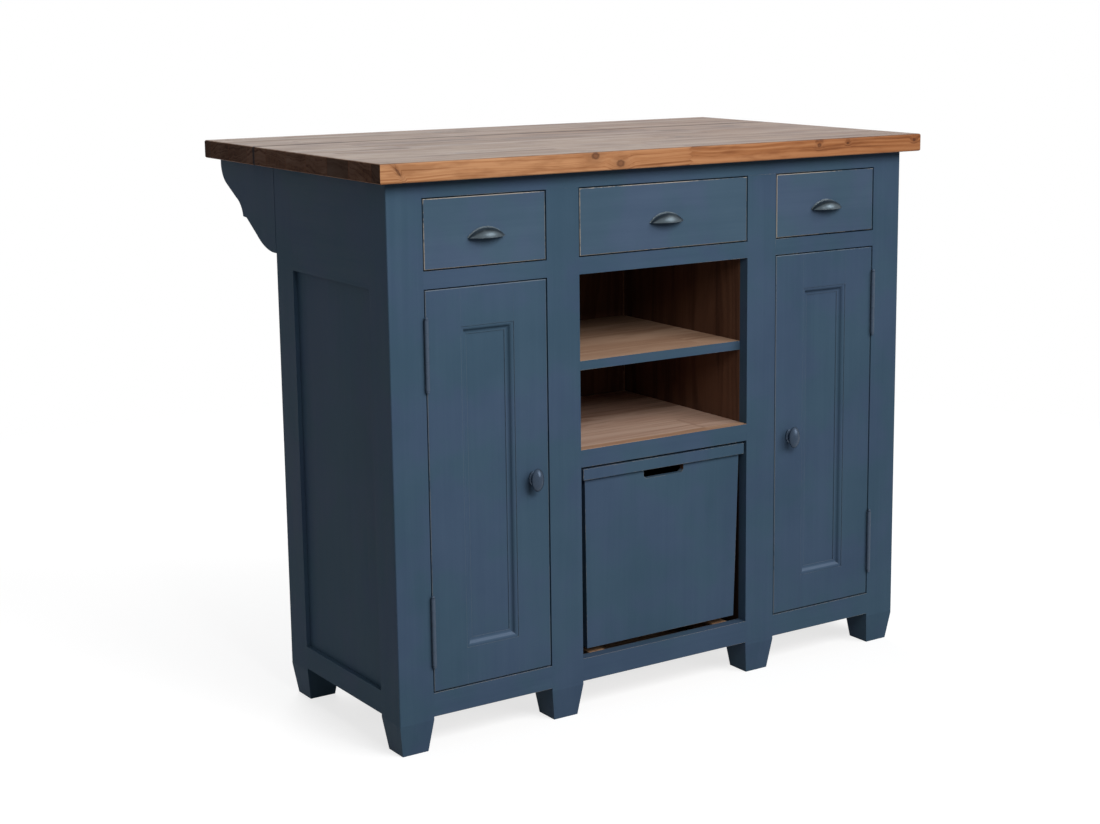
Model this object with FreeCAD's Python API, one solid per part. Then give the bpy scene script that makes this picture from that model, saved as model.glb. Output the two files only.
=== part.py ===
import FreeCAD, Part
import os

from FreeCAD import Matrix, Placement, Rotation, Vector

# Kitchen island unit: a painted pine carcass on tapered feet, with three drawers over two
# panelled doors, an open niche and a pull-out bin in the middle, and a waxed pine worktop.
# The back strip of the worktop is a hinged leaf, carried by two scroll-cut swing brackets.
#
# Millimetres, +Z up, the front faces -Y. The origin is on the floor, under the middle of
# the worktop. Left and right are those of a person who looks at the front.

# ---- Driving sizes -------------------------------------------------------------------

# Front, from side to side
post_size = 60.0            # square corner posts
stile_width = 60.0          # upright stiles beside the middle bay
side_opening = 218.0        # clear width of a door opening
middle_opening = 336.0      # clear width of the middle bay
side_overhang = 22.0        # worktop beyond the carcass, each side

# Front, from the floor up
foot_height = 57.0          # floor to the underside of the rails
bottom_rail = 38.0
door_opening = 632.0
drawer_rail = 27.0          # rail between the drawers and the doors
drawer_opening = 110.0
top_rail = 26.0
top_thickness = 30.0

# Depth
carcass_depth = 382.0
front_overhang = 28.0       # worktop beyond the front frame
back_overhang = 24.0        # fixed worktop beyond the back frame
leaf_depth = 196.0
seam_gap = 1.4              # between the fixed worktop and the leaf

# Carcass stuff
frame_thickness = 20.0
side_top_rail = 164.0
back_top_rail = 164.0
panel_thickness = 8.0
panel_recess = 7.0          # outer face of a side or back panel, behind its frame
groove_depth = 7.0
partition_thickness = 18.0
board_thickness = 18.0
housing_depth = 5.0         # boards let into partitions and posts
foot_straight = 5.0         # square part of a foot, below the rails
foot_taper = 7.5            # each side of a foot comes in by this at the floor
edge_ease = 1.0
top_edge_round = 3.0
same_place = 0.1            # places nearer than this count as the same

# Niche and cupboard shelves
niche_upper = 143.0
niche_lower = 125.0
niche_shelf_thickness = 15.0
niche_rail = 29.0
shelf_height = 300.0        # cupboard floor to the top of its shelf
shelf_setback = 25.0

# Doors
door_gap = 2.0              # all round, between door and frame
door_back_gap = 0.5         # a shut door's back, in front of the frame's back
door_member = 60.0          # width of a door's stiles and rails
door_recess = 8.5
moulding_width = 13.0
moulding_fillet = 1.2       # flat steps at both edges of the moulding
moulding_drop = 1.0
moulding_curl = 0.35        # bulge of each curve, as a share of its own fall

# Door hinges
door_hinge_length = 108.0
door_hinge_inset = 97.5     # end of the door to the middle of a hinge
door_barrel_radius = 3.4
door_pin_radius = 1.7
door_plate_thickness = 1.6
door_plate_reach = 16.0     # plate's width on the wood
finial_radius = 2.8
finial_seat = 0.7           # middle of the ball beyond the barrel, as a share of its radius

# Every hinge
knuckle_count = 5
knuckle_gap = 0.3
pin_clearance = 0.05
barrel_clearance = 0.3

# Knobs
knob_width = 22.5
knob_height = 37.0
knob_projection = 24.0
knob_base_radius = 7.0
knob_base_reach = 2.0       # reaches are measured out from the door
knob_neck_radius = 4.8
knob_neck_reach = 7.2
knob_shoulder_radius = 9.0  # where the neck's hollow turns into the rim
knob_shoulder_reach = 13.4
knob_rim_reach = 16.3
knob_rim_bulge = 0.9

# Drawers
drawer_gap = 2.0            # all round, between front and frame
drawer_front_thickness = 20.0
drawer_side_clearance = 3.0
drawer_side_thickness = 12.0
drawer_headroom = 26.0      # opening's height above the top of a drawer's sides
drawer_back_gap = 32.0      # behind a shut drawer
drawer_bottom_thickness = 6.0
drawer_bottom_lift = 8.0
drawer_groove = 5.0
run_clearance = 0.3         # drawer or bin above what it slides on
tail_count = 3
tail_length = 12.0
tail_root = 14.0
tail_slope = 1.0 / 6.0
runner_width = 30.0
guide_width = 12.0
guide_height = 20.0

# Cup pulls
pull_width = 62.0
pull_rise = 14.2            # height of the shell, and depth of its curved part
pull_skirt = 6.5            # straight part of the shell, between the flange and the curve
pull_wall = 1.6
pull_flange = 1.8
pull_flange_thickness = 1.2
pull_point = 2.9            # solid tip at each end of the shell
pull_drop = 9.7             # tips below the middle of a drawer front

# Bin
bin_side_gap = 5.0          # rim to the opening, each side
bin_top_gap = 4.0
bin_lift = 11.0             # bin's underside above the bottom rail
bin_setback = 1.0
bin_back_gap = 31.0         # behind the shut bin
bin_wall = 10.0
bin_taper = 6.0             # each side comes in by this at the bottom
bin_base_thickness = 8.0
rim_height = 18.0
rim_thickness = 6.0
slot_width = 81.0
slot_height = 16.0
slot_corner = 7.0
bin_floor_thickness = 8.0   # board that closes the bay's underside and carries the runners
bin_runner_inset = 26.0     # from the opening's side
bin_runner_width = 30.0
bin_skid_width = 20.0       # skids under the bin, which slide on the runners
bin_skid_setback = 65.0     # from the bin's base wall to a skid's front end

# Scroll brackets
bracket_thickness = 18.0
bracket_tip_inset = 13.0    # leaf's back edge to the bracket's tip
bracket_height = 142.0
bracket_clearance = 0.5     # behind the carcass
bracket_bearing = 66.0      # outer part of the top edge, which carries the leaf
bracket_relief = 3.5        # the rest of the top edge is this much lower
rest_clearance = 0.3        # bracket to the underside of the leaf
scroll_lip = 10.0           # upright lip at the tip
scroll_nose_inset = 20.0    # from the tip to where the round nose meets the slope
scroll_nose_drop = 42.0
scroll_slope_inset = 58.0   # from the tip to where the slope turns into the hollow
scroll_slope_drop = 63.0
scroll_step_inset = 83.5    # from the tip to the foot of the hollow
scroll_step_drop = 92.5
scroll_step = 13.0
scroll_step_fall = 1.0
scroll_swell_reach = 72.0   # where the slope behind the step turns into the belly
scroll_swell_drop = 119.0
scroll_belly_reach = 10.0   # where the belly meets the flat bottom
scroll_bulge = 5.0          # how far each curve stands off its chord

# Bracket hinges
bracket_hinge_drop = 20.0   # bracket's top to the hinge's top
bracket_hinge_lift = 21.0   # bracket's heel to the hinge's bottom
bracket_barrel_radius = 2.5
bracket_pin_radius = 1.2
bracket_plate_thickness = 1.4
bracket_plate_reach = 22.0

# Leaf hinges
leaf_hinge_length = 60.0
leaf_hinge_spacing = 220.0
leaf_barrel_radius = 3.5
leaf_pin_radius = 1.6
leaf_plate_thickness = 1.8
leaf_plate_gap = 2.7        # between a plate and the carcass

# Door catches
catch_width = 26.0
catch_depth = 16.0
catch_height = 24.0

# ---- Places worked out from the sizes -------------------------------------------------

half_middle = middle_opening / 2.0
stile_outer = half_middle + stile_width
post_inner = stile_outer + side_opening
half_width = post_inner + post_size
half_top = half_width + side_overhang

door_bottom = foot_height + bottom_rail
door_top = door_bottom + door_opening
drawer_bottom = door_top + drawer_rail
drawer_top = drawer_bottom + drawer_opening
carcass_top = drawer_top + top_rail
worktop_top = carcass_top + top_thickness

total_depth = front_overhang + carcass_depth + back_overhang + seam_gap + leaf_depth
front = front_overhang - total_depth / 2.0
back = front + carcass_depth
inner_front = front + frame_thickness
inner_back = back - frame_thickness
seam = back + back_overhang
leaf_front = seam + seam_gap
leaf_back = leaf_front + leaf_depth

door_thickness = frame_thickness - door_back_gap
drawer_side_height = drawer_opening - drawer_headroom
drawer_box_length = carcass_depth - frame_thickness - drawer_front_thickness - drawer_back_gap
bin_depth = carcass_depth - frame_thickness - bin_setback - bin_back_gap
bin_runner_spacing = middle_opening - bin_runner_width - 2 * bin_runner_inset

leaf_edge = back_overhang + seam_gap + leaf_depth
bracket_reach = leaf_edge - bracket_clearance - bracket_tip_inset
bracket_hinge_length = bracket_height - bracket_hinge_drop - bracket_hinge_lift
leaf_plate_reach = back_overhang + seam_gap / 2.0 - leaf_plate_gap

niche_shelf_top = door_top - niche_upper
niche_floor_top = niche_shelf_top - niche_shelf_thickness - niche_lower
bin_bay_top = niche_floor_top - niche_rail

X = Vector(1, 0, 0)
Y = Vector(0, 1, 0)
Z = Vector(0, 0, 1)
ORIGIN = Vector(0, 0, 0)

parts = {}


# ---- Helpers --------------------------------------------------------------------------

def block(x, y, z):
    """A box between two values on each axis."""
    corner = Vector(x[0], y[0], z[0])
    return Part.makeBox(x[1] - x[0], y[1] - y[0], z[1] - z[0], corner)


def rectangle(x, y, z):
    corners = [Vector(x[0], y[0], z), Vector(x[1], y[0], z)]
    corners += [Vector(x[1], y[1], z), Vector(x[0], y[1], z)]
    return Part.makePolygon(corners + corners[:1])


def tapered_block(low_x, low_y, low_z, high_x, high_y, high_z):
    """A block whose bottom and top rectangles differ."""
    ends = [rectangle(low_x, low_y, low_z), rectangle(high_x, high_y, high_z)]
    return Part.makeLoft(ends, True, True)


def shrunk(pair, amount):
    return (pair[0] + amount, pair[1] - amount)


def without(shape, *others):
    for other in others:
        shape = shape.cut(other)
    return shape


def joined(shape, *others):
    for other in others:
        shape = shape.fuse(other)
    return shape.removeSplitter()


def mirrored(shape):
    """The same piece on the other side of the unit."""
    return shape.mirror(ORIGIN, X)


def moved(shape, offset):
    copy = shape.copy()
    copy.translate(offset)
    return copy


def eased(shape, size, wanted):
    """Chamfer the edges whose middle passes the test."""
    edges = [edge for edge in shape.Edges if wanted(edge.BoundBox.Center)]
    return shape.makeChamfer(size, edges)


def arc(start, middle, end):
    return Part.Arc(start, middle, end).toShape()


def line(start, end):
    return Part.LineSegment(start, end).toShape()


def bulged_arc(start, end, bulge, normal):
    """An arc that stands off its chord by bulge, to the left as seen against the normal."""
    side = normal.cross(end - start).normalize()
    return arc(start, (start + end) * 0.5 + side * bulge, end)


def crown_arc(rim, tip):
    """An arc from a rim to the tip of a dome that is round about the Y axis."""
    rise = abs(tip.y - rim.y)
    radius = (rim.x ** 2 + rise ** 2) / (2.0 * rise)
    centre = Vector(0, tip.y + radius, 0)
    outwards = ((rim + tip) * 0.5 - centre).normalize()
    return arc(rim, centre + outwards * radius, tip)


def solid_of(edges, direction):
    face = Part.Face(Part.Wire(Part.__sortEdges__(edges)))
    return face.extrude(direction)


# ---- Carcass --------------------------------------------------------------------------

def tapered_foot(x, y, top):
    """A square foot that comes in on all four sides towards the floor."""
    square_z = foot_height - foot_straight
    foot = tapered_block(shrunk(x, foot_taper), shrunk(y, foot_taper), 0.0, x, y, square_z)
    return joined(foot, block(x, y, (square_z, top)))


def side_panel():
    x = (-half_width + panel_recess, -half_width + panel_recess + panel_thickness)
    y = shrunk((front + post_size, back - post_size), -groove_depth)
    z = shrunk((door_bottom, carcass_top - side_top_rail), -groove_depth)
    return block(x, y, z)


def side_rails():
    x = (-half_width, -half_width + frame_thickness)
    y = (front + post_size, back - post_size)
    bottom = block(x, y, (foot_height, door_bottom))
    top = block(x, y, (carcass_top - side_top_rail, carcass_top))
    return [without(bottom, side_panel()), without(top, side_panel())]


def back_panels():
    y = (back - panel_recess - panel_thickness, back - panel_recess)
    z = shrunk((door_bottom, carcass_top - back_top_rail), -groove_depth)
    left = block(shrunk((-post_inner, -stile_outer), -groove_depth), y, z)
    middle = block(shrunk((-half_middle, half_middle), -groove_depth), y, z)
    return [left, middle, mirrored(left)]


def back_frame():
    y = (inner_back, back)
    rail_x = (-post_inner, post_inner)
    top = block(rail_x, y, (carcass_top - back_top_rail, carcass_top))
    bottom = block(rail_x, y, (foot_height, door_bottom))
    mullion_z = (door_bottom, carcass_top - back_top_rail)
    mullion = block((-stile_outer, -half_middle), y, mullion_z)
    members = [top, bottom, mullion, mirrored(mullion)]
    return [without(member, *back_panels()) for member in members]


def cupboard_floor():
    x = (-half_width + frame_thickness, -half_middle - partition_thickness + housing_depth)
    z = (door_bottom - board_thickness, door_bottom)
    floor = block(x, (inner_front, inner_back), z)
    post_x = (-half_width, -post_inner)
    front_post = block(post_x, (front, front + post_size), z)
    back_post = block(post_x, (back - post_size, back), z)
    return without(floor, front_post, back_post)


def cupboard_shelf():
    """Housed in the partition and in both corner posts."""
    x = (-half_width + panel_recess + panel_thickness,
         -half_middle - partition_thickness + housing_depth)
    top = door_bottom + shelf_height
    z = (top - board_thickness, top)
    shelf = block(x, (inner_front + shelf_setback, inner_back), z)
    notch_x = (-half_width, -post_inner - housing_depth)
    front_notch = block(notch_x, (front, front + post_size - housing_depth), z)
    back_notch = block(notch_x, (back - post_size + housing_depth, back), z)
    return without(shelf, front_notch, back_notch)


def niche_board(top, thickness):
    x = (-half_middle - housing_depth, half_middle + housing_depth)
    return block(x, (inner_front, inner_back), (top - thickness, top))


def partition(boards):
    x = (-half_middle - partition_thickness, -half_middle)
    wall = block(x, (inner_front, inner_back), (foot_height, carcass_top))
    return without(wall, *boards)


def corner_post(y, corner_y, cuts):
    """A square post from the floor to the worktop, with its outer corner eased."""
    def on_corner(at):
        beside = abs(at.x + half_width) < same_place and abs(at.y - corner_y) < same_place
        return beside and foot_height < at.z < carcass_top - edge_ease

    post = tapered_foot((-half_width, -post_inner), y, carcass_top)
    return without(eased(post, edge_ease, on_corner), *cuts)


def drawer_runners():
    """A plain strip beside the posts, and a rebated one behind the middle stile."""
    y = (inner_front, inner_back)
    z = (drawer_bottom - board_thickness, drawer_bottom)
    outer = block((-post_inner, -post_inner + runner_width), y, z)
    base = block((-stile_outer - runner_width, -stile_outer + guide_width), y, z)
    guide = block((-stile_outer, -stile_outer + guide_width), y,
                  (drawer_bottom, drawer_bottom + guide_height))
    inner = joined(base, guide)
    return [outer, inner, mirrored(inner), mirrored(outer)]


def bin_floor():
    """A thin board under the bin's bay, between the partitions."""
    z = (foot_height, foot_height + bin_floor_thickness)
    return block((-half_middle, half_middle), (inner_front, inner_back), z)


def about_bin_runner(width):
    """The two sides of a strip that is centred on the left bin runner."""
    middle = -bin_runner_spacing / 2.0
    return (middle - width / 2.0, middle + width / 2.0)


def bin_runners():
    """Strips on the bin's floor, level with the top of the bottom rail."""
    z = (foot_height + bin_floor_thickness, door_bottom)
    strip = block(about_bin_runner(bin_runner_width), (inner_front, inner_back), z)
    return [strip, mirrored(strip)]


def door_catch():
    """A small magnetic catch under the inner drawer runner."""
    x = (-stile_outer - catch_width, -stile_outer)
    top = drawer_bottom - board_thickness
    return block(x, (inner_front, inner_front + catch_depth), (top - catch_height, top))


def make_carcass(jamb_leaves):
    shelf = cupboard_shelf()
    niche_shelf = niche_board(niche_shelf_top, niche_shelf_thickness)
    niche_floor = niche_board(niche_floor_top, board_thickness)
    niche_ceiling = niche_board(drawer_bottom, board_thickness)
    frame_y = (front, inner_front)

    front_cuts = [shelf, side_panel()] + jamb_leaves
    front_post = corner_post((front, front + post_size), front, front_cuts)
    back_cuts = [shelf, side_panel()] + back_panels()
    back_post = corner_post((back - post_size, back), back, back_cuts)
    parts["corner_post_front_left"] = [front_post]
    parts["corner_post_front_right"] = [mirrored(front_post)]
    parts["corner_post_back_left"] = [back_post]
    parts["corner_post_back_right"] = [mirrored(back_post)]

    stile = block((-stile_outer, -half_middle), frame_y, (foot_height, drawer_top))
    parts["middle_stile_left"] = [stile]
    parts["middle_stile_right"] = [mirrored(stile)]
    foot_x = (-stile_outer, -half_middle)
    front_foot = tapered_foot(foot_x, (front, front + post_size), foot_height)
    back_foot = tapered_foot(foot_x, (back - post_size, back), foot_height)
    feet = [front_foot, back_foot]
    parts["middle_feet"] = feet + [mirrored(foot) for foot in feet]

    bays = [(-post_inner, -stile_outer), (-half_middle, half_middle), (stile_outer, post_inner)]
    top_z = (drawer_top, carcass_top)
    parts["front_top_rail"] = [block((-post_inner, post_inner), frame_y, top_z)]
    cross_rails = [block(bay, frame_y, (door_top, drawer_bottom)) for bay in bays]
    cross_rails.append(block(bays[1], frame_y, (bin_bay_top, niche_floor_top)))
    parts["front_cross_rails"] = cross_rails
    bottom_z = (foot_height, door_bottom)
    parts["front_bottom_rails"] = [block(bay, frame_y, bottom_z) for bay in bays]

    parts["side_rails_left"] = side_rails()
    parts["side_rails_right"] = [mirrored(rail) for rail in side_rails()]
    parts["side_panel_left"] = [side_panel()]
    parts["side_panel_right"] = [mirrored(side_panel())]
    parts["back_frame"] = back_frame()
    parts["back_panels"] = back_panels()

    floor = cupboard_floor()
    parts["cupboard_floors"] = [floor, mirrored(floor), bin_floor()]
    parts["cupboard_shelves"] = [shelf, mirrored(shelf)]
    parts["niche_shelf"] = [niche_shelf]
    parts["niche_floor"] = [niche_floor]
    parts["niche_ceiling"] = [niche_ceiling]
    wall = partition([floor, shelf, niche_shelf, niche_floor, niche_ceiling])
    parts["partition_left"] = [wall]
    parts["partition_right"] = [mirrored(wall)]
    parts["drawer_runners"] = drawer_runners()
    parts["bin_runners"] = bin_runners()
    parts["door_catches"] = [door_catch(), mirrored(door_catch())]


# ---- Hinges ---------------------------------------------------------------------------
# A hinge is drawn with its pin along Z from the origin. A leaf's plate runs along +X from
# the barrel, between two heights on Y, and carries every second knuckle.

def hinge_leaf(length, first, radius, pin_radius, reach, plate):
    knuckle = (length - (knuckle_count - 1) * knuckle_gap) / knuckle_count
    root = radius + barrel_clearance
    leaf = block((root, reach), plate, (0.0, length))
    for index in range(first, knuckle_count, 2):
        low = index * (knuckle + knuckle_gap)
        barrel = Part.makeCylinder(radius, knuckle, Vector(0, 0, low))
        web = block((0.0, root), plate, (low, low + knuckle))
        leaf = leaf.fuse(barrel).fuse(web)
    bore = Part.makeCylinder(pin_radius + pin_clearance, length)
    return leaf.removeSplitter().cut(bore)


def hinge_pin(length, pin_radius):
    return Part.makeCylinder(pin_radius, length)


def finial(height, direction):
    """A small ball on the end of the pin, flat where it sits on the barrel."""
    ball_middle = Vector(0, 0, height + direction * finial_radius * finial_seat)
    ball = Part.makeSphere(finial_radius, ball_middle)
    span = (-2 * finial_radius, 2 * finial_radius)
    barrel_side = sorted((height, height - direction * 2 * finial_radius))
    return ball.cut(block(span, span, barrel_side))


def placed(shape, rotation, position):
    copy = shape.copy()
    copy.Placement = Placement(position, rotation).multiply(copy.Placement)
    return copy


def door_hinges():
    """Leaves for the left jamb and door, and the pins, at both heights."""
    axis_x = -post_inner + door_gap / 2.0
    axis_y = front - door_barrel_radius - barrel_clearance
    reach = door_barrel_radius + barrel_clearance + door_plate_reach
    face = door_gap / 2.0
    jamb_plate = (face, face + door_plate_thickness)
    door_plate = (-face - door_plate_thickness, -face)
    sizes = (door_barrel_radius, door_pin_radius, reach)
    jamb = hinge_leaf(door_hinge_length, 0, *sizes, jamb_plate)
    door = hinge_leaf(door_hinge_length, 1, *sizes, door_plate)
    pin = hinge_pin(door_hinge_length, door_pin_radius)
    pin = joined(pin, finial(door_hinge_length, 1), finial(0.0, -1))
    turn = Rotation(Z, 90)
    low = door_bottom + door_gap + door_hinge_inset - door_hinge_length / 2.0
    high = door_top - door_gap - door_hinge_inset - door_hinge_length / 2.0
    places = [Vector(axis_x, axis_y, level) for level in (low, high)]
    return [[placed(shape, turn, place) for place in places] for shape in (jamb, door, pin)]


def bracket_axis():
    offset = bracket_barrel_radius + barrel_clearance
    return Vector(-half_width + bracket_thickness + offset, back + offset, 0.0)


def bracket_hinge():
    """Leaf on the back frame, leaf on the left bracket, and the pin."""
    offset = bracket_barrel_radius + barrel_clearance
    sizes = (bracket_barrel_radius, bracket_pin_radius, bracket_plate_reach)
    back_plate = (-offset, -offset + bracket_plate_thickness)
    arm_plate = (offset - bracket_plate_thickness, offset)
    fixed = hinge_leaf(bracket_hinge_length, 0, *sizes, back_plate)
    arm = hinge_leaf(bracket_hinge_length, 1, *sizes, arm_plate)
    pin = hinge_pin(bracket_hinge_length, bracket_pin_radius)
    low = carcass_top - rest_clearance - bracket_hinge_drop - bracket_hinge_length
    place = bracket_axis() + Vector(0, 0, low)
    along_back = Rotation()
    along_arm = Rotation(Z, 90)
    return [placed(fixed, along_back, place), placed(arm, along_arm, place),
            placed(pin, along_back, place)]


def leaf_hinges():
    """Plates under the fixed worktop and under the leaf, and the pins, along the seam."""
    offset = leaf_barrel_radius + barrel_clearance
    plate = (offset - leaf_plate_thickness, offset)
    opposite = (-offset, -offset + leaf_plate_thickness)
    sizes = (leaf_barrel_radius, leaf_pin_radius, leaf_plate_reach)
    on_leaf = hinge_leaf(leaf_hinge_length, 1, *sizes, plate)
    on_top = hinge_leaf(leaf_hinge_length, 0, *sizes, opposite)
    pin = hinge_pin(leaf_hinge_length, leaf_pin_radius)
    towards_back = Rotation(Y, Z, X, "ZXY")
    towards_front = Rotation(Y * -1, Z * -1, X, "ZXY")
    axis_y = (seam + leaf_front) / 2.0
    columns = (-leaf_hinge_spacing, 0.0, leaf_hinge_spacing)
    places = [Vector(column - leaf_hinge_length / 2.0, axis_y, carcass_top - offset)
              for column in columns]
    top_leaves = [placed(on_top, towards_front, place) for place in places]
    back_leaves = [placed(on_leaf, towards_back, place) for place in places]
    pins = [placed(pin, towards_back, place) for place in places]
    return top_leaves, back_leaves, pins


# ---- Doors ----------------------------------------------------------------------------

def moulding_stick(length):
    """One mitred stick: outer edge along X, inwards is -Z, the panel is at the back."""
    back_y = door_recess
    high_y = moulding_drop
    low_y = door_recess - moulding_fillet
    middle_y = (high_y + low_y) / 2.0
    quarter = (moulding_width - 2 * moulding_fillet) / 4.0
    inner = moulding_width - moulding_fillet
    middle = moulding_width / 2.0

    def at(inwards, depth):
        return Vector(0, depth, -inwards)

    bulge = (middle_y - high_y) * moulding_curl
    top_start = at(moulding_fillet, high_y)
    centre = at(middle, middle_y)
    bottom_end = at(inner, low_y)
    crown = at(moulding_fillet + quarter, (high_y + middle_y) / 2.0 - bulge)
    hollow = at(middle + quarter, (middle_y + low_y) / 2.0 + bulge)
    edges = [line(at(0, back_y), at(0, high_y)), line(at(0, high_y), top_start)]
    edges += [arc(top_start, crown, centre), arc(centre, hollow, bottom_end)]
    edges += [line(bottom_end, at(moulding_width, low_y))]
    edges += [line(at(moulding_width, low_y), at(moulding_width, back_y))]
    edges += [line(at(moulding_width, back_y), at(0, back_y))]
    stick = solid_of(edges, Vector(length, 0, 0))
    corners = [Vector(0, 0, 0), Vector(length, 0, 0)]
    corners += [Vector(length - moulding_width, 0, -moulding_width)]
    corners += [Vector(moulding_width, 0, -moulding_width)]
    mitre = Part.Face(Part.makePolygon(corners + corners[:1])).extrude(Vector(0, back_y, 0))
    return stick.common(mitre)


def door_moulding(x, z):
    """Four sticks round the panel, between the frame's inner edges x and z."""
    width = x[1] - x[0]
    height = z[1] - z[0]
    flat = moulding_stick(width)
    upright = moulding_stick(height)
    places = [(flat, 0, (x[0], z[1])), (upright, 90, (x[1], z[1]))]
    places += [(flat, 180, (x[1], z[0])), (upright, 270, (x[0], z[0]))]
    return [placed(stick, Rotation(Y, angle), Vector(at[0], front, at[1]))
            for stick, angle, at in places]


def knob(x, z):
    """A turned knob, then stretched upwards to an oval."""
    radius = knob_width / 2.0
    base = Vector(knob_base_radius, -knob_base_reach, 0)
    neck = Vector(knob_neck_radius, -knob_neck_reach, 0)
    shoulder = Vector(knob_shoulder_radius, -knob_shoulder_reach, 0)
    rim = Vector(radius, -knob_rim_reach, 0)
    tip = Vector(0, -knob_projection, 0)
    foot = Vector(knob_base_radius, 0, 0)
    edges = [line(ORIGIN, foot), line(foot, base), arc(base, neck, shoulder)]
    edges += [bulged_arc(shoulder, rim, knob_rim_bulge, Z), crown_arc(rim, tip), line(tip, ORIGIN)]
    face = Part.Face(Part.Wire(edges))
    round_knob = face.revolve(ORIGIN, Y, 360)
    stretch = Matrix()
    stretch.A33 = knob_height / knob_width
    oval = round_knob.transformGeometry(stretch)
    return moved(oval, Vector(x, front, z))


def make_left_door(door_leaves):
    x = (-post_inner + door_gap, -stile_outer - door_gap)
    z = (door_bottom + door_gap, door_top - door_gap)
    y = (front, front + door_thickness)
    envelope = eased(block(x, y, z), edge_ease, lambda at: at.y < front + same_place)
    inner_x = shrunk(x, door_member)
    inner_z = shrunk(z, door_member)
    panel_y = (front + door_recess, front + door_recess + panel_thickness)
    panel = block(shrunk(inner_x, -groove_depth), panel_y, shrunk(inner_z, -groove_depth))
    hinge_stile = block((x[0], inner_x[0]), y, z)
    lock_stile = block((inner_x[1], x[1]), y, z)
    low_rail = block(inner_x, y, (z[0], inner_z[0]))
    high_rail = block(inner_x, y, (inner_z[1], z[1]))
    members = [hinge_stile, lock_stile, low_rail, high_rail]
    members = [without(member, panel, *door_leaves).common(envelope) for member in members]
    handle = knob(x[1] - door_member / 2.0, (z[0] + z[1]) / 2.0)
    return {"frame": members, "panel": [panel], "moulding": door_moulding(inner_x, inner_z),
            "knob": [handle], "hinge_leaves": door_leaves}


def make_doors(door_leaves):
    for name, pieces in make_left_door(door_leaves).items():
        parts["door_left_" + name] = pieces
        parts["door_right_" + name] = [mirrored(piece) for piece in pieces]


# ---- Drawers --------------------------------------------------------------------------

def tails(x, low):
    """The dovetails on the front end of a drawer side."""
    pitch = drawer_side_height / tail_count
    half_root = tail_root / 2.0
    half_tip = half_root + tail_length * tail_slope
    root_y = front + drawer_front_thickness
    tip_y = root_y - tail_length
    shapes = []
    for index in range(tail_count):
        middle = low + pitch * (index + 0.5)
        corners = [Vector(x[0], root_y, middle - half_root)]
        corners += [Vector(x[0], tip_y, middle - half_tip)]
        corners += [Vector(x[0], tip_y, middle + half_tip)]
        corners += [Vector(x[0], root_y, middle + half_root)]
        face = Part.Face(Part.makePolygon(corners + corners[:1]))
        shapes.append(face.extrude(Vector(x[1] - x[0], 0, 0)))
    return shapes


def cup_pull(x, low):
    """A straight skirt, then a quarter turn, hollow and open underneath, on a thin flange."""
    half = pull_width / 2.0

    def crescent(spread):
        """An upright outline, with its outer arc grown by spread."""
        left = Vector(-half - spread, 0, 0)
        right = Vector(half + spread, 0, 0)
        inner_left = Vector(-half + pull_point, 0, 0)
        inner_right = Vector(half - pull_point, 0, 0)
        edges = [arc(left, Z * (pull_rise + spread), right), line(right, inner_right)]
        edges += [arc(inner_right, Z * (pull_rise - pull_wall), inner_left)]
        edges += [line(inner_left, left)]
        return Part.Face(Part.Wire(edges))

    skirt_end = Y * -pull_skirt
    skirt = crescent(0.0).extrude(skirt_end)
    shell = moved(crescent(0.0), skirt_end).revolve(skirt_end, X, 90)
    flange = crescent(pull_flange).extrude(Y * -pull_flange_thickness)
    return moved(joined(skirt, shell, flange), Vector(x, front, low))


def make_drawer(name, opening):
    """Front, box and pull of one drawer, between the two sides of its opening."""
    front_y = (front, front + drawer_front_thickness)
    front_z = shrunk((drawer_bottom, drawer_top), drawer_gap)
    panel = block(shrunk(opening, drawer_gap), front_y, front_z)
    panel = eased(panel, edge_ease, lambda at: at.y < front + same_place)

    box_x = shrunk(opening, drawer_side_clearance)
    low = drawer_bottom + run_clearance
    side_z = (low, low + drawer_side_height)
    box_y = (front_y[1], front_y[1] + drawer_box_length)
    left_x = (box_x[0], box_x[0] + drawer_side_thickness)
    right_x = (box_x[1] - drawer_side_thickness, box_x[1])
    inside = (left_x[1], right_x[0])
    bottom_z = (low + drawer_bottom_lift, low + drawer_bottom_lift + drawer_bottom_thickness)
    bottom_y = (front_y[1] - drawer_groove, box_y[1])
    bottom = block(shrunk(inside, -drawer_groove), bottom_y, bottom_z)
    sides = []
    for side_x in (left_x, right_x):
        side_tails = tails(side_x, low)
        panel = without(panel, *side_tails)
        side = joined(block(side_x, box_y, side_z), *side_tails)
        sides.append(without(side, bottom))
    back_y = (box_y[1] - drawer_side_thickness, box_y[1])
    back_board = block(inside, back_y, (bottom_z[1], side_z[1]))
    parts["drawer_" + name + "_front"] = [without(panel, bottom)]
    parts["drawer_" + name + "_box"] = sides + [back_board, bottom]
    middle_x = (opening[0] + opening[1]) / 2.0
    pull_low = (front_z[0] + front_z[1]) / 2.0 - pull_drop
    parts["drawer_" + name + "_pull"] = [cup_pull(middle_x, pull_low)]


# ---- Bin ------------------------------------------------------------------------------

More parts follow.
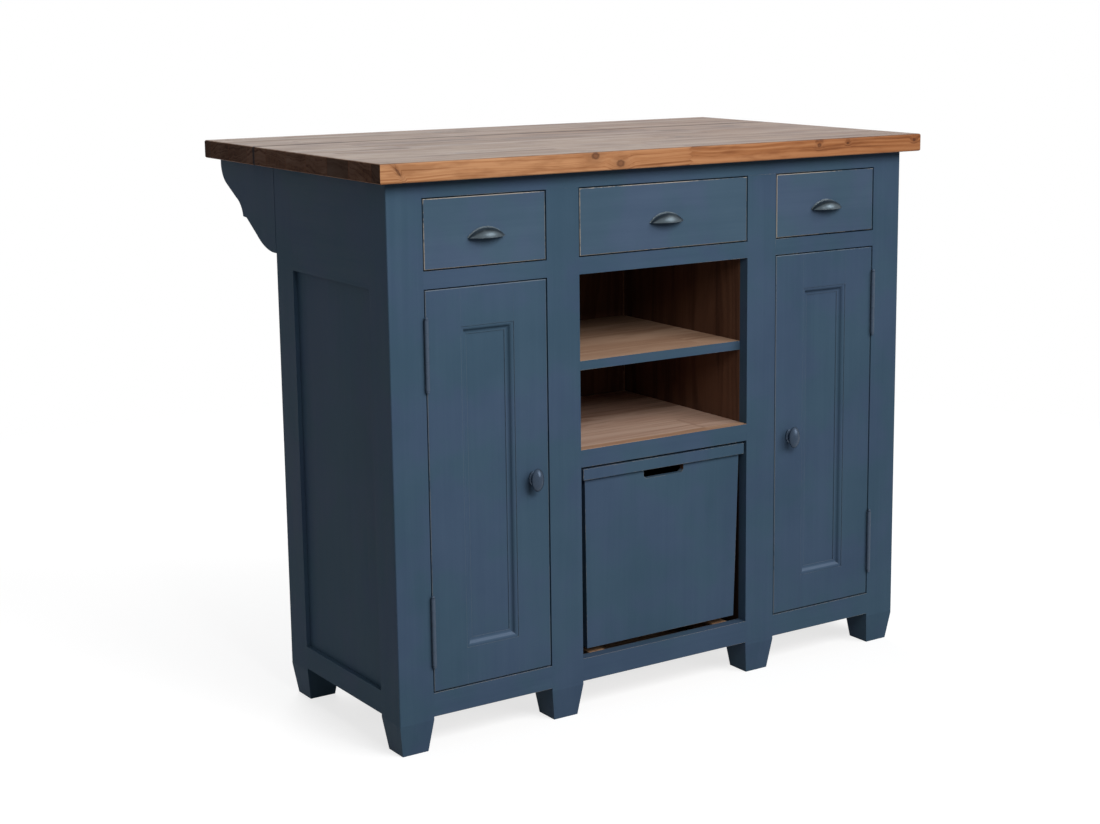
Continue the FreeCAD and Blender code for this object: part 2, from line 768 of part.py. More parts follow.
def make_bin():
    """A tapered open box on two skids, with a rim and a hand slot."""
    low = door_bottom + bin_lift
    top = bin_bay_top - bin_top_gap
    rim_x = shrunk((-half_middle, half_middle), bin_side_gap)
    rim_y = (front + bin_setback, front + bin_setback + bin_depth)
    top_x = shrunk(rim_x, rim_thickness)
    top_y = shrunk(rim_y, rim_thickness)
    low_x = shrunk(top_x, bin_taper)
    low_y = shrunk(top_y, bin_taper)

    def wall(low_wall_x, low_wall_y, top_wall_x, top_wall_y):
        return tapered_block(low_wall_x, low_wall_y, low, top_wall_x, top_wall_y, top)

    def first(pair):
        return (pair[0], pair[0] + bin_wall)

    def last(pair):
        return (pair[1] - bin_wall, pair[1])

    front_wall = wall(low_x, first(low_y), top_x, first(top_y))
    back_wall = wall(low_x, last(low_y), top_x, last(top_y))
    inner_low_y = shrunk(low_y, bin_wall)
    inner_top_y = shrunk(top_y, bin_wall)
    side_wall = wall(first(low_x), inner_low_y, first(top_x), inner_top_y)

    rim_z = (top - rim_height, top)
    half_slot = slot_width / 2.0
    slot_z = (rim_z[0] - slot_height, rim_z[0])
    slot = block((-half_slot, half_slot), (rim_y[0], inner_low_y[0]), slot_z)
    slot_edges = [edge for edge in slot.Edges
                  if abs(edge.BoundBox.Center.z - slot_z[0]) < same_place
                  and abs(abs(edge.BoundBox.Center.x) - half_slot) < same_place]
    slot = slot.makeFillet(slot_corner, slot_edges)

    slope = bin_taper / (top - low)
    base_rise = slope * bin_base_thickness
    base_low_x = shrunk(low_x, bin_wall)
    base = tapered_block(base_low_x, inner_low_y, low, shrunk(base_low_x, -base_rise),
                         shrunk(inner_low_y, -base_rise), low + bin_base_thickness)

    skid_y = (inner_low_y[0] + bin_skid_setback, inner_low_y[1])
    skid_z = (door_bottom + run_clearance, low)
    skid = block(about_bin_runner(bin_skid_width), skid_y, skid_z)

    body = tapered_block(low_x, low_y, low, top_x, top_y, top)
    strip_inner = rim_thickness + slope * rim_height
    front_fill = block(rim_x, (rim_y[0], rim_y[0] + strip_inner), rim_z)
    back_fill = block(rim_x, (rim_y[1] - strip_inner, rim_y[1]), rim_z)
    side_fill = block((rim_x[0], rim_x[0] + strip_inner), shrunk(rim_y, strip_inner), rim_z)
    side_strip = without(side_fill, body)
    strips = [without(front_fill, body), without(back_fill, body)]
    strips += [side_strip, mirrored(side_strip)]

    parts["bin_front"] = [without(front_wall, slot)]
    parts["bin_walls"] = [back_wall, side_wall, mirrored(side_wall)]
    parts["bin_base"] = [base, skid, mirrored(skid)]
    parts["bin_rim"] = strips


# ---- Worktop, leaf and brackets -------------------------------------------------------

def rounded_top(y, square_y):
    """A worktop board, rounded on every edge but those at the seam."""
    board = block((-half_top, half_top), y, (carcass_top, worktop_top))
    middle_z = (carcass_top + worktop_top) / 2.0
    edges = [edge for edge in board.Edges
             if abs(edge.BoundBox.Center.y - square_y) > same_place
             and abs(edge.BoundBox.Center.z - middle_z) > same_place]
    return board.makeFillet(top_edge_round, edges)


def bracket():
    """The left bracket, cut to a scroll, standing out from the back frame."""
    top = carcass_top - rest_clearance
    root = back + bracket_clearance
    outer_x = -half_width

    def at(reach, drop):
        return Vector(outer_x, root + reach, top - drop)

    tip = at(bracket_reach, 0)
    lip = at(bracket_reach, scroll_lip)
    nose = at(bracket_reach - scroll_nose_inset, scroll_nose_drop)
    slope = at(bracket_reach - scroll_slope_inset, scroll_slope_drop)
    step_reach = bracket_reach - scroll_step_inset
    step = at(step_reach, scroll_step_drop)
    shoulder = at(step_reach - scroll_step, scroll_step_drop + scroll_step_fall)
    swell = at(scroll_swell_reach, scroll_swell_drop)
    belly = at(scroll_belly_reach, bracket_height)
    heel = at(0, bracket_height)
    bearing = at(bracket_reach - bracket_bearing, 0)
    relief = at(bracket_reach - bracket_bearing - bracket_relief, bracket_relief)
    edges = [line(tip, lip), bulged_arc(lip, nose, scroll_bulge, X), line(nose, slope)]
    edges += [bulged_arc(slope, step, -scroll_bulge, X), line(step, shoulder)]
    edges += [line(shoulder, swell), bulged_arc(swell, belly, scroll_bulge, X)]
    edges += [line(belly, heel)]
    edges += [line(heel, at(0, bracket_relief)), line(at(0, bracket_relief), relief)]
    edges += [line(relief, bearing), line(bearing, tip)]
    face = Part.Face(Part.Wire(edges))
    return face.extrude(Vector(bracket_thickness, 0, 0))


def make_top_and_brackets():
    parts["worktop"] = [rounded_top((front - front_overhang, seam), seam)]
    parts["worktop_leaf"] = [rounded_top((leaf_front, leaf_back), leaf_front)]
    top_leaves, back_leaves, leaf_pins = leaf_hinges()
    parts["leaf_hinge_top_plates"] = top_leaves
    parts["leaf_hinge_leaf_plates"] = back_leaves
    fixed, arm, pin = bracket_hinge()
    parts["bracket_left"] = [bracket()]
    parts["bracket_right"] = [mirrored(bracket())]
    parts["bracket_left_hinge_leaf"] = [arm]
    parts["bracket_right_hinge_leaf"] = [mirrored(arm)]
    parts["bracket_hinge_back_leaves"] = [fixed, mirrored(fixed)]
    return leaf_pins + [pin, mirrored(pin)]


# ---- Build and write ------------------------------------------------------------------

jamb_leaves, door_leaves, door_pins = door_hinges()
make_carcass(jamb_leaves)
parts["door_hinge_jamb_leaves"] = jamb_leaves + [mirrored(leaf) for leaf in jamb_leaves]
make_doors(door_leaves)
make_drawer("left", (-post_inner, -stile_outer))
make_drawer("middle", (-half_middle, half_middle))
make_drawer("right", (stile_outer, post_inner))
make_bin()
other_pins = make_top_and_brackets()
parts["hinge_pins"] = door_pins + [mirrored(pin) for pin in door_pins] + other_pins

os.makedirs("parts", exist_ok=True)
for node, solids in parts.items():
    shape = solids[0] if len(solids) == 1 else Part.makeCompound(solids)
    shape.exportStep("parts/" + node + ".step")
    print(node, len(solids), round(shape.Volume / 1000.0, 1), "cm3", shape.isValid())
print(len(parts), "nodes")
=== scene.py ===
import math

import bmesh
import bpy
from mathutils import Matrix, Vector


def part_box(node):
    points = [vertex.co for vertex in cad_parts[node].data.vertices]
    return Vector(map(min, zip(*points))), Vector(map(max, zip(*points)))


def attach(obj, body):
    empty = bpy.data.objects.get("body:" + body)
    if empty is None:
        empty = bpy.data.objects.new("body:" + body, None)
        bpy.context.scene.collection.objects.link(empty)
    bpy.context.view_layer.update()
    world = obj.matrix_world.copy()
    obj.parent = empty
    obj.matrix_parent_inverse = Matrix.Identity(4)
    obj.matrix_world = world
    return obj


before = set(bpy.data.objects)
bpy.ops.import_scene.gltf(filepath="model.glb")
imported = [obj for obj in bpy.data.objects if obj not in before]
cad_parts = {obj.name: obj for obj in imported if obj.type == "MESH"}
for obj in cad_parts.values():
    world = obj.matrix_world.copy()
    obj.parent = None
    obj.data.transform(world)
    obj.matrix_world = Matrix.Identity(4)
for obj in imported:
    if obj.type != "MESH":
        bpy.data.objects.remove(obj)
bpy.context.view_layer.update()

# Kitchen island unit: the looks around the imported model. Metres, +Z up, the front faces -Y.
# Left and right are those of a person who looks at the front.

# ---- Camera ---------------------------------------------------------------------------

camera_place = Vector((-1.8633, -2.8647, 1.1536))
camera_yaw = math.radians(35.393)        # from +Y towards +X
camera_pitch = math.radians(10.650)      # below the horizon
camera_roll = math.radians(-0.204)
image_width = 1100
image_height = 824
focal_pixels = 1977.8
axis_pixel = (650.0, 370.0)              # where the optical axis meets the picture
sensor_width = 36.0

# ---- Colours, as linear red, green and blue -------------------------------------------

paint_deep = (0.038, 0.068, 0.107)
paint_pale = (0.052, 0.088, 0.134)
paint_teal = (0.040, 0.080, 0.114)
paint_violet = (0.050, 0.075, 0.133)
drawer_lighter = (1.20, 1.13, 1.10)        # multiplies the paint of the drawers' fronts, lighter and greyer than the frame
bare_edge = (0.42, 0.37, 0.31)
rubbed_edge_and_highlight = (0.15, 0.175, 0.205)       # paint rubbed thin on the doors' edges; on the mouldings' edges it is a painted highlight
painted_moulding_light = (0.120, 0.165, 0.235)      # painted light: paler paint on the upper slopes of a moulding, which face the light
grime = (0.012, 0.018, 0.026)

top_pale = (0.41, 0.190, 0.080)
top_warm = (0.30, 0.118, 0.042)
top_dark = (0.120, 0.038, 0.014)
top_sheen_and_shade = (0.60, 0.80, 1.15)            # painted sheen and shade: multiplies the wood on upward faces, darker and bluer, for the top's lesser light and its pale sheen
end_grain = (0.155, 0.175, 0.255)        # multiplies the wood on the ends of its boards
left_tint = (1.10, 1.22, 1.42)           # multiplies the worktop at its left end
right_tint = (0.94, 0.87, 0.85)          # and at its right end
top_blotch = (0.74, 0.68, 0.64)          # multiplies the darker patches of the worktop
knot_brown = (0.105, 0.036, 0.016)
knot_dark = (0.040, 0.014, 0.008)

# Painted light and shade: one pine, in lighter lit copies for the shelves and the niche's floor,
# where light falls, and in a much darker shaded copy for the upright inner walls.
lit_shelf_wood = ((0.44, 0.285, 0.195), (0.33, 0.195, 0.125), (0.16, 0.082, 0.050))
lit_floor_wood = ((0.50, 0.35, 0.27), (0.39, 0.25, 0.185), (0.20, 0.110, 0.075))
shaded_wall_wood = ((0.115, 0.054, 0.031), (0.078, 0.034, 0.020), (0.038, 0.016, 0.010))
drawer_wood = ((0.38, 0.235, 0.140), (0.28, 0.155, 0.085), (0.15, 0.070, 0.038))
bay_painted_shade = (0.16, 0.17, 0.19)            # painted shade: darkens the walls beside the bin

# Rubbed iron on the edges; on the pulls' rims it is also a painted highlight.
iron_wear_and_highlight = (0.34, 0.40, 0.44)
hinge_worn = (0.082, 0.115, 0.165)
pull_dark = (0.070, 0.092, 0.108)
knob_dark = (0.026, 0.046, 0.078)
hinge_dark = (0.036, 0.058, 0.092)
screw_dark = (0.060, 0.062, 0.066)
floor_colour = (0.36, 0.36, 0.36)
floor_bounce = (0.28, 0.28, 0.28)
floor_glow = 0.74                        # added to what the floor shows of its own light
floor_fade = (1.0, 2.4)                  # from the middle, metres, to where it is plain white

# ---- Places from the frame ------------------------------------------------------------

stile_low, stile_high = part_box("middle_stile_left")
post_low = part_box("corner_post_front_left")[0]
back_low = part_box("back_frame")[0]
rail_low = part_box("front_bottom_rails")[0]
bin_low, bin_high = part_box("bin_walls")
top_low, top_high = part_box("worktop")
niche_low, niche_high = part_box("niche_floor")
leaf_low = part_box("worktop_leaf")[0]

inner_front = stile_high.y
inner_back = back_low.y
half_width = -post_low.x
half_middle = -stile_high.x
seam = (top_high.y + leaf_low.y) / 2.0


# ---- Node helpers ---------------------------------------------------------------------

class Shade:
    """Short calls that add nodes to a material and give back their outputs."""

    def __init__(self, name):
        self.material = bpy.data.materials.new(name)
        self.material.use_nodes = True
        self.tree = self.material.node_tree
        self.tree.nodes.clear()

    def node(self, kind, inputs=None, **settings):
        made = self.tree.nodes.new(kind)
        for key, value in settings.items():
            setattr(made, key, value)
        for key, value in (inputs or {}).items():
            self.put(made.inputs[key], value)
        return made

    def put(self, socket, value):
        if isinstance(value, bpy.types.NodeSocket):
            self.tree.links.new(value, socket)
        elif socket.type == "RGBA" and len(value) == 3:
            socket.default_value = (*value, 1.0)
        else:
            socket.default_value = value

    def math(self, operation, a, b=0.0, clamp=False):
        made = self.node("ShaderNodeMath", {0: a, 1: b}, operation=operation)
        made.use_clamp = clamp
        return made.outputs[0]

    def spread(self, value, width, start):
        """A value from 0 to 1, carried to the range of that width from start."""
        inputs = {0: value, 1: width, 2: start}
        return self.node("ShaderNodeMath", inputs, operation="MULTIPLY_ADD").outputs[0]

    def vector(self, operation, a, b=(0.0, 0.0, 0.0), output=0):
        return self.node("ShaderNodeVectorMath", {0: a, 1: b}, operation=operation).outputs[output]

    def split(self, vector):
        return self.node("ShaderNodeSeparateXYZ", {0: vector}).outputs

    def join(self, x, y, z):
        return self.node("ShaderNodeCombineXYZ", {0: x, 1: y, 2: z}).outputs[0]

    def mix(self, share, a, b, blend="MIX"):
        made = self.node("ShaderNodeMix", data_type="RGBA", blend_type=blend)
        self.put(made.inputs["Factor"], share)
        colours = [socket for socket in made.inputs if socket.type == "RGBA"]
        self.put(colours[0], a)
        self.put(colours[1], b)
        return [socket for socket in made.outputs if socket.type == "RGBA"][0]

    def ramp(self, value, low, high, to_low=0.0, to_high=1.0):
        """A smooth step between two values."""
        made = self.node("ShaderNodeMapRange", {0: value, 1: low, 2: high, 3: to_low, 4: to_high})
        made.interpolation_type = "SMOOTHSTEP"
        return made.outputs[0]

    def noise(self, point, scale, detail=3.0, rough=0.5, distortion=0.0):
        inputs = {"Vector": point, "Scale": scale, "Detail": detail, "Roughness": rough}
        made = self.node("ShaderNodeTexNoise", inputs)
        made.inputs["Distortion"].default_value = distortion
        return made.outputs["Fac"]

    def random(self, vector, output="Value"):
        return self.node("ShaderNodeTexWhiteNoise", {"Vector": vector},
                         noise_dimensions="3D").outputs[output]

    def stretched(self, point, scale):
        return self.vector("MULTIPLY", point, scale)

    def bump(self, height, strength, distance, normal=None):
        inputs = {"Height": height, "Strength": strength, "Distance": distance}
        made = self.node("ShaderNodeBump", inputs)
        if normal is not None:
            self.put(made.inputs["Normal"], normal)
        return made.outputs[0]

    def finish(self, colour, roughness, normal=None, **constants):
        shader = self.node("ShaderNodeBsdfPrincipled")
        self.put(shader.inputs["Base Color"], colour)
        self.put(shader.inputs["Roughness"], roughness)
        if normal is not None:
            self.put(shader.inputs["Normal"], normal)
        for key, value in constants.items():
            shader.inputs[key.replace("_", " ")].default_value = value
        out = self.node("ShaderNodeOutputMaterial")
        self.put(out.inputs["Surface"], shader.outputs[0])
        return self.material


# ---- Wood -----------------------------------------------------------------------------

# A scale of three numbers stretches a pattern: along the grain, then across it twice.
drift_scale = (1.6, 9.0, 9.0)
broad_scale = (2.2, 26.0, 26.0)
streak_scale = (3.0, 150.0, 150.0)
fibre_scale = (14.0, 420.0, 420.0)
finger_depth = 0.004                     # metres, of the fingers that join staves end to end
finger_stretch = 2.0
joint_scatter = 7.0                      # in staves' lengths, from one row to the next
pith_aside = (0.16, -0.08)               # width and start of where a stave's pith may lie
pith_below = (0.06, -0.10)               # the same, downwards
ring_wander = 0.05                       # metres
ring_drift = 1.3                         # how soon the rings change along the grain
ring_pale, ring_dark = 0.36, 0.66

# How much of the wood's figure comes from each of these.
ring_share = 0.42
hair_share = 0.36
broad_share = 0.62
tone_share = 0.18
warm_from, warm_to = 0.42, 1.00          # the figure's depth where pale wood turns warm
heavy_from, heavy_to = 1.26, 1.80        # and with its streaks added, where it turns dark
knot_bend = 0.012                        # metres that the grain gives way round a knot
swirl_share, core_share, rim_share = 0.34, 0.62, 0.55
joint_reach = 0.0022                     # as a share of a stave's length
joint_share, line_share = 0.35, 0.5
glue_from, glue_to = 0.0003, 0.0014      # metres from the line between two staves
bay_face_play = 0.0005                   # metres about the faces that the bin's bay shows
dull_rough = 0.55                        # roughness added on end grain and near the seam
wood_rounding = 0.0012
wood_bump = 0.22
bump_depth = 0.0006

# A knot's parts, as shares of its size from its middle.
knot_core = (0.9, 1.7)
knot_rim = (0.7, 1.2)
knot_swirl = (0.8, 4.5)
knot_wobble = 0.7
wobble_scale = 260.0

blotch_scale = (11.0, 11.0, 70.0)
blotch_from, blotch_to = 0.46, 0.68
seam_dark_from, seam_dark_to = 0.0012, 0.0060      # metres from the seam
seam_dark_share = 0.85


def along(shade, point, grain):
    """The point with its grain direction first."""
    x, y, z = shade.split(point)
    order = {"x": (x, y, z), "y": (y, x, z), "z": (z, x, y)}[grain]
    return shade.join(*order)


def board_seed(shade, point, width, length):
    """A random colour for each stave, as wide and long as given, and how far along it lies."""
    g, u, v = shade.split(point)
    row = shade.math("FLOOR", shade.math("DIVIDE", u, width))
    shift = shade.random(shade.join(row, 3.7, 1.3))
    fingers = shade.math("PINGPONG", v, finger_depth)
    reach = shade.math("ADD", g, shade.math("MULTIPLY", fingers, finger_stretch))
    scatter = shade.math("MULTIPLY", shift, joint_scatter)
    step = shade.math("ADD", shade.math("DIVIDE", reach, length), scatter)
    return shade.random(shade.join(row, shade.math("FLOOR", step), 0.5), "Color"), step


def growth_rings(shade, point, seed, ring):
    """Uneven rings about a pith that lies outside each stave, wavering along the grain."""
    g, u, v = shade.split(point)
    a, b, c = shade.split(seed)
    pith_u = shade.spread(a, *pith_aside)
    pith_v = shade.spread(b, *pith_below)
    drift = shade.vector("ADD", shade.stretched(point, drift_scale), seed)
    wander = shade.noise(drift, 1.0, 3.0, 0.55)
    du = shade.math("SUBTRACT", u, pith_u)
    dv = shade.math("SUBTRACT", v, pith_v)
    radius = shade.vector("LENGTH", shade.join(0.0, du, dv), output=1)
    radius = shade.math("ADD", radius, shade.math("MULTIPLY", wander, ring_wander))
    turn = shade.math("DIVIDE", radius, ring)
    apart = shade.math("MULTIPLY", c, 40.0)
    drifting = shade.join(turn, shade.math("MULTIPLY", g, ring_drift), apart)
    bands = shade.noise(drifting, 1.0, 3.0, 0.62)
    return shade.ramp(bands, ring_pale, ring_dark)


def fibre(shade, point, seed):
    shifted = shade.vector("ADD", point, seed)
    return shade.noise(shade.stretched(shifted, fibre_scale), 1.0, 4.0, 0.6)


def in_own_directions(shade, normal):
    """A normal in the object's own directions, so that it turns with the piece."""
    turned = shade.node("ShaderNodeVectorTransform", {"Vector": normal}, vector_type="NORMAL",
                        convert_from="WORLD", convert_to="OBJECT")
    return turned.outputs[0]


def own_normal(shade):
    geometry = shade.node("ShaderNodeNewGeometry")
    return in_own_directions(shade, geometry.outputs["True Normal"])


def facing_grain(shade, grain):
    """1 on end grain."""
    return shade.math("ABSOLUTE", shade.split(own_normal(shade))["xyz".index(grain)])


def knots(shade, point, places):
    """How near each point is to the knots: 1 in the core, in its dark rim and in the swirl."""
    core = 0.0
    rim = 0.0
    swirl = 0.0
    for centre, stretch, lean, size in places:
        offset = shade.vector("SUBTRACT", point, centre)
        x, y, z = shade.split(offset)
        x = shade.math("ADD", x, shade.math("MULTIPLY", z, lean))
        offset = shade.stretched(shade.join(x, y, z), stretch)
        distance = shade.vector("LENGTH", offset, output=1)
        wobble = shade.noise(point, wobble_scale, 2.0)
        wobble = shade.math("MULTIPLY", wobble, size * knot_wobble)
        distance = shade.math("ADD", distance, wobble)
        here = shade.ramp(distance, size * knot_core[0], size * knot_core[1], 1.0, 0.0)
        edge = shade.ramp(distance, size * knot_rim[0], size * knot_rim[1])
        edge = shade.math("MULTIPLY", here, edge)
        near = shade.ramp(distance, size * knot_swirl[0], size * knot_swirl[1], 1.0, 0.0)
        core = shade.math("MAXIMUM", core, here)
        rim = shade.math("MAXIMUM", rim, edge)
        swirl = shade.math("MAXIMUM", swirl, near)
    return core, rim, swirl


def along_top(shade, place, colour):
    """The worktop's colour drifts from end to end, and it is darker and duller within a few
    millimetres of the seam.
    """
    x, y, z = shade.split(place)
    tint = shade.mix(shade.ramp(x, top_low.x, top_high.x), left_tint, right_tint)
    colour = shade.mix(1.0, colour, tint, "MULTIPLY")
    blotches = shade.noise(shade.stretched(place, blotch_scale), 1.0, 3.0, 0.6)
    blotches = shade.ramp(blotches, blotch_from, blotch_to)
    colour = shade.mix(blotches, colour, top_blotch, "MULTIPLY")
    apart = shade.math("ABSOLUTE", shade.math("SUBTRACT", y, seam))
    seam_dark = shade.ramp(apart, seam_dark_from, seam_dark_to, seam_dark_share, 0.0)
    return shade.mix(seam_dark, colour, grime), seam_dark


def stave_lines(shade, point, width):
    """1 on the thin glue line between two staves."""
    across = shade.math("PINGPONG", shade.split(point)[1], width)
    nearer = shade.math("MINIMUM", across, shade.math("SUBTRACT", width, across))
    return shade.ramp(nearer, glue_from, glue_to, 1.0, 0.0)


def painted_bay_shade(shade, place, colour):
    """Painted shade: the walls beside the bin are darkened, darker than those of the niche."""
    x, y, z = shade.split(place)
    low = shade.math("LESS_THAN", z, niche_low.z)
    aside = shade.math("ABSOLUTE", x)
    facing_bay = shade.math("LESS_THAN", aside, half_middle + bay_face_play)
    low = shade.math("MULTIPLY", low, facing_bay)
    return shade.mix(low, colour, bay_painted_shade, "MULTIPLY"), 0.0


def wood(name, grain, colours, stave=(0.072, 0.60), knot_places=(), upward_sheen_and_shade=None,
         ring=0.0042, roughness=(0.38, 0.52), specular=0.5, over=None):
    """Staves of pine: rings, fibre, broad patches, streaks and each stave's own tone."""
    shade = Shade(name)
    pale, warm, dark = colours
    place = shade.node("ShaderNodeTexCoord").outputs["Object"]
    point = along(shade, place, grain)
    seed, step = board_seed(shade, point, *stave)
    core, rim, swirl = knots(shade, place, knot_places) if knot_places else (0.0, 0.0, 0.0)
    bent = point
    if knot_places:
        push = shade.math("MULTIPLY", swirl, knot_bend)
        bent = shade.vector("ADD", point, shade.join(0.0, push, push))
    rings = growth_rings(shade, bent, seed, ring)
    hairs = fibre(shade, bent, seed)
    shifted = shade.vector("ADD", bent, seed)
    broad = shade.noise(shade.stretched(shifted, broad_scale), 1.0)
    streaks = shade.noise(shade.stretched(shifted, streak_scale), 1.0)
    tone = shade.split(seed)[2]

    depth = shade.math("MULTIPLY", rings, ring_share)
    depth = shade.math("ADD", depth, shade.math("MULTIPLY", hairs, hair_share))
    depth = shade.math("ADD", depth, shade.math("MULTIPLY", broad, broad_share))
    depth = shade.math("ADD", depth, shade.math("MULTIPLY", tone, tone_share))
    light = shade.ramp(depth, warm_from, warm_to)
    heavy = shade.ramp(shade.math("ADD", depth, streaks), heavy_from, heavy_to)
    colour = shade.mix(light, pale, warm)
    colour = shade.mix(heavy, colour, dark)
    if knot_places:
        colour = shade.mix(shade.math("MULTIPLY", swirl, swirl_share), colour, dark)
        colour = shade.mix(shade.math("MULTIPLY", core, core_share), colour, knot_brown)
        colour = shade.mix(shade.math("MULTIPLY", rim, rim_share), colour, knot_dark)
    end = shade.ramp(facing_grain(shade, grain), 0.5, 0.9)
    end_tone = shade.mix(shade.ramp(tone, 0.2, 0.9), end_grain, tuple(c * 2.0 for c in end_grain))
    colour = shade.mix(end, colour, end_tone, "MULTIPLY")
    duller = end
    if over is not None:
        colour, dull = over(shade, place, colour)
        duller = shade.math("MAXIMUM", end, dull)
    # Painted sheen and shade: upward faces are tinted darker and bluer.
    if upward_sheen_and_shade is not None:
        upwards = shade.ramp(shade.split(own_normal(shade))[2], 0.5, 0.95)
        colour = shade.mix(upwards, colour, upward_sheen_and_shade, "MULTIPLY")
    joint_step = shade.math("FRACT", step)
    joint = shade.math("MAXIMUM", shade.ramp(joint_step, 0.0, joint_reach, 1.0, 0.0),
                       shade.ramp(joint_step, 1.0 - joint_reach, 1.0))
    glue = stave_lines(shade, point, stave[0])
    lines = shade.math("MAXIMUM", shade.math("MULTIPLY", joint, joint_share),
                       shade.math("MULTIPLY", glue, line_share))
    colour = shade.mix(lines, colour, dark)

    shine = shade.math("ADD", shade.math("MULTIPLY", hairs, 0.5),
                       shade.math("MULTIPLY", broad, 0.5))
    rough = shade.ramp(shine, 0.3, 0.7, *roughness)
    rough = shade.math("ADD", rough, shade.math("MULTIPLY", duller, dull_rough), clamp=True)
    height = shade.math("ADD", shade.math("MULTIPLY", rings, -0.4),
                        shade.math("MULTIPLY", hairs, -0.6))
    edge = shade.node("ShaderNodeBevel", {"Radius": wood_rounding}, samples=4).outputs[0]
    normal = shade.bump(height, wood_bump, bump_depth, edge)
    return shade.finish(colour, rough, normal, Specular_IOR_Level=specular)


# ---- Paint ----------------------------------------------------------------------------

stroke_scale = (5.0, 210.0, 210.0)       # brush marks
telegraph_scale = (3.0, 60.0, 60.0)      # grain that shows through the paint
cloud_share, stroke_share, telegraph_share = 0.60, 0.20, 0.20
hue_share = 0.4                          # of the colour that drifts from teal to violet
speck_share = 0.25
bare_share = 0.8                         # of the edge colour, on worn edges and on a moulding's painted highlights
wear_reach = 0.0010                      # metres from an edge
wear_low, wear_high = 1.06, 1.26         # what the patches must reach, less the wear asked for
lit_slope_from, lit_slope_to = 0.46, 0.74        # upward slopes that take the painted light
paint_rough = (0.44, 0.56)
paint_bump = 0.14
paint_specular = 0.03
inside_sides = 0.010                     # metres inwards from the posts' outer faces
inside_front = 0.0005                    # behind the front frame's back
inside_back = 0.009                      # past the back frame's inner face
inside_low = 0.001                       # over the bottom rails' undersides
level_play = 0.0004                      # metres between heights that count as one level
skin = 0.0008                            # metres before the back of a drawer's front
bare_board = (0.095, 3.0)                # width and length of a bare board, metres
bare_ring = 0.006


def interior_box(shade, place):
    """1 inside the carcass, behind the front frame, where the wood is left bare."""
    side = half_width - inside_sides
    low = Vector((-side, inner_front + inside_front, rail_low.z + inside_low))
    high = Vector((side, inner_back + inside_back, top_low.z))
    inside = 1.0
    for value, a, b in zip(shade.split(place), low, high):
        inside = shade.math("MULTIPLY", inside, shade.math("GREATER_THAN", value, a))
        inside = shade.math("MULTIPLY", inside, shade.math("LESS_THAN", value, b))
    return inside


def niche_sill(shade, place):
    """1 on the top of the rail under the niche, which is left bare like the niche's floor."""
    x, y, z = shade.split(place)
    level = shade.math("COMPARE", z, niche_high.z)
    level.node.inputs[2].default_value = level_play
    between = shade.math("LESS_THAN", shade.math("ABSOLUTE", x), half_middle)
    return shade.math("MULTIPLY", level, between)


def rail_bare(shade, place):
    return shade.math("MAXIMUM", interior_box(shade, place), niche_sill(shade, place))


def behind_front(shade, place):
    """1 on the back of a drawer front."""
    return shade.math("GREATER_THAN", shade.split(place)[1], inner_front - skin)


def inside_bin(shade, place):
    """1 on the faces that look towards the bin's middle."""
    middle = (bin_low + bin_high) / 2.0
    geometry = shade.node("ShaderNodeNewGeometry")
    towards = shade.vector("SUBTRACT", tuple(middle), place)
    facing = shade.vector("DOT_PRODUCT", towards, geometry.outputs["True Normal"], output=1)
    return shade.math("GREATER_THAN", facing, 0.0)


def worn_edges(shade, place, wear, flat_sides, joint_axis=None):
    """A ragged thin line where an outer edge has lost its paint, but not at a frame's joints; on
    the mouldings the line is a painted highlight.
    """
    bevel = shade.node("ShaderNodeBevel", {"Radius": wear_reach}, samples=6).outputs[0]
    geometry = shade.node("ShaderNodeNewGeometry")
    same = shade.vector("DOT_PRODUCT", bevel, geometry.outputs["True Normal"], output=1)
    edge = shade.ramp(same, 0.80, 0.97, 1.0, 0.0)
    if joint_axis is not None:
        towards_joint = shade.split(in_own_directions(shade, bevel))["xyz".index(joint_axis)]
        plain = shade.ramp(shade.math("ABSOLUTE", towards_joint), 0.02, 0.10, 1.0, 0.0)
        edge = shade.math("MULTIPLY", edge, plain)
    if flat_sides:
        x, y, z = shade.split(shade.vector("ABSOLUTE", own_normal(shade)))
        largest = shade.math("MAXIMUM", shade.math("MAXIMUM", x, y), z)
        edge = shade.math("MAXIMUM", edge, shade.ramp(largest, 0.75, 0.95, 1.0, 0.0))
    patches = shade.noise(place, 9.0, 3.0, 0.6)
    ragged = shade.noise(place, 170.0, 3.0, 0.7)
    chance = shade.math("ADD", patches, shade.math("MULTIPLY", ragged, 0.55))
    wear_and_highlight = shade.ramp(chance, wear_low - wear, wear_high - wear)
    return shade.math("MULTIPLY", edge, wear_and_highlight)


